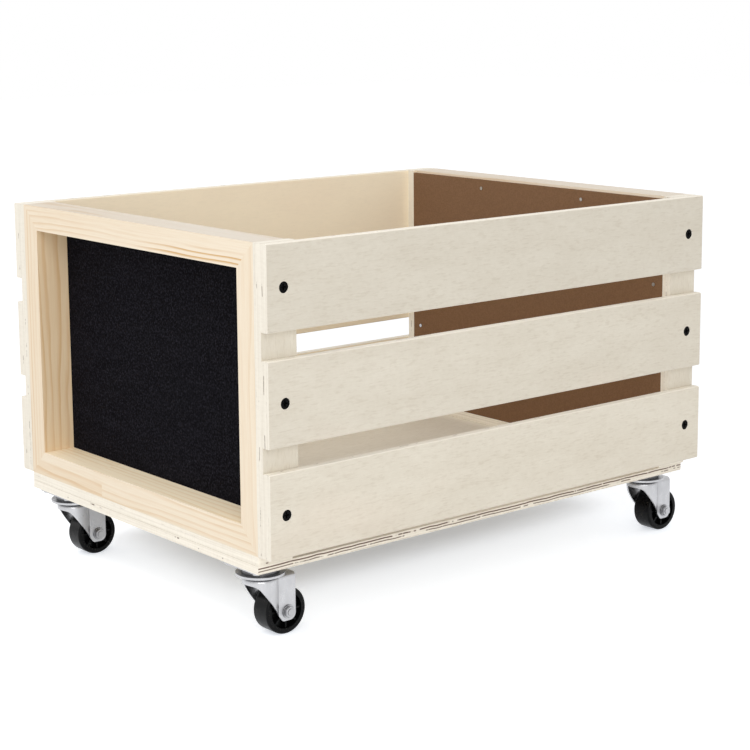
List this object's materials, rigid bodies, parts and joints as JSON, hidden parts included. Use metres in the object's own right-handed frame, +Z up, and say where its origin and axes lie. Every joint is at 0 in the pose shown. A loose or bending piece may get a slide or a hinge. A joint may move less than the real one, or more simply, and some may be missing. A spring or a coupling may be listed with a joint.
{
  "type": "open slatted crate on swivel casters",
  "caption": "Open-topped slatted wooden crate with framed board ends, rolling on swivel casters; stores flat sleeves upright.",
  "frame": {"origin": "on the floor, below the middle of the whole outline with the wheels trailing to the rear", "axes": "+Z up; +Y along the long side, from the front end to the rear; +X to the right as seen from the front"},
  "size_m": [0.334, 0.4454, 0.2823],
  "materials": {
    "pine": "unfinished, matt",
    "side_ply": "unfinished, matt",
    "bottom_ply": "unfinished, matt",
    "end_panel": "matt black board face, brown back",
    "black_screw": "black phosphate",
    "zinc_screw": "zinc plated",
    "zinc_plate": "zinc plated",
    "zinc_fork": "zinc plated",
    "race_ball": "polished",
    "axle_bolt": "zinc plated",
    "black_wheel": "moulded, glossy"
  },
  "bodies": {
    "crate": {"front_top_rail": "pine", "front_bottom_rail": "pine", "front_left_stile": "pine", "front_right_stile": "pine", "front_panel": "end_panel", "front_sill": "bottom_ply", "rear_top_rail": "pine", "rear_bottom_rail": "pine", "rear_left_stile": "pine", "rear_right_stile": "pine", "rear_panel": "end_panel", "rear_sill": "bottom_ply", "front_left_post": "side_ply", "front_right_post": "side_ply", "rear_left_post": "side_ply", "rear_right_post": "side_ply", "left_low_slat": "side_ply", "left_middle_slat": "side_ply", "left_top_slat": "side_ply", "right_low_slat": "side_ply", "right_middle_slat": "side_ply", "right_top_slat": "side_ply", "left_slat_screws": "black_screw", "right_slat_screws": "black_screw", "bottom_board": "bottom_ply", "bottom_screws": "zinc_screw", "plate_screws": "zinc_screw", "panel_brads": "zinc_screw", "front_left_plate": "zinc_plate", "front_left_balls": "race_ball", "front_left_kingpin": "zinc_plate", "front_right_plate": "zinc_plate", "front_right_balls": "race_ball", "front_right_kingpin": "zinc_plate", "rear_left_plate": "zinc_plate", "rear_left_balls": "race_ball", "rear_left_kingpin": "zinc_plate", "rear_right_plate": "zinc_plate", "rear_right_balls": "race_ball", "rear_right_kingpin": "zinc_plate"},
    "front_left_swivel": {"front_left_fork": "zinc_fork", "front_left_axle": "axle_bolt", "front_left_nut": "axle_bolt"},
    "front_left_wheel": {"front_left_wheel": "black_wheel"},
    "front_right_swivel": {"front_right_fork": "zinc_fork", "front_right_axle": "axle_bolt", "front_right_nut": "axle_bolt"},
    "front_right_wheel": {"front_right_wheel": "black_wheel"},
    "rear_left_swivel": {"rear_left_fork": "zinc_fork", "rear_left_axle": "axle_bolt", "rear_left_nut": "axle_bolt"},
    "rear_left_wheel": {"rear_left_wheel": "black_wheel"},
    "rear_right_swivel": {"rear_right_fork": "zinc_fork", "rear_right_axle": "axle_bolt", "rear_right_nut": "axle_bolt"},
    "rear_right_wheel": {"rear_right_wheel": "black_wheel"}
  },
  "joints": [
    {"name": "front_left_swivel_turn", "type": "hinge", "parent": "crate", "child": "front_left_swivel", "pos_m": [-0.126, -0.20225, 0.0445], "axis": [0, 0, 1], "continuous": true},
    {"name": "front_left_wheel_spin", "type": "hinge", "parent": "front_left_swivel", "child": "front_left_wheel", "pos_m": [-0.126, -0.18625, 0.017], "axis": [1, 0, 0], "continuous": true},
    {"name": "front_right_swivel_turn", "type": "hinge", "parent": "crate", "child": "front_right_swivel", "pos_m": [0.126, -0.20225, 0.0445], "axis": [0, 0, 1], "continuous": true},
    {"name": "front_right_wheel_spin", "type": "hinge", "parent": "front_right_swivel", "child": "front_right_wheel", "pos_m": [0.126, -0.18625, 0.017], "axis": [1, 0, 0], "continuous": true},
    {"name": "rear_left_swivel_turn", "type": "hinge", "parent": "crate", "child": "rear_left_swivel", "pos_m": [-0.126, 0.18975, 0.0445], "axis": [0, 0, 1], "continuous": true},
    {"name": "rear_left_wheel_spin", "type": "hinge", "parent": "rear_left_swivel", "child": "rear_left_wheel", "pos_m": [-0.126, 0.20575, 0.017], "axis": [1, 0, 0], "continuous": true},
    {"name": "rear_right_swivel_turn", "type": "hinge", "parent": "crate", "child": "rear_right_swivel", "pos_m": [0.126, 0.18975, 0.0445], "axis": [0, 0, 1], "continuous": true},
    {"name": "rear_right_wheel_spin", "type": "hinge", "parent": "rear_right_swivel", "child": "rear_right_wheel", "pos_m": [0.126, 0.20575, 0.017], "axis": [1, 0, 0], "continuous": true}
  ]
}
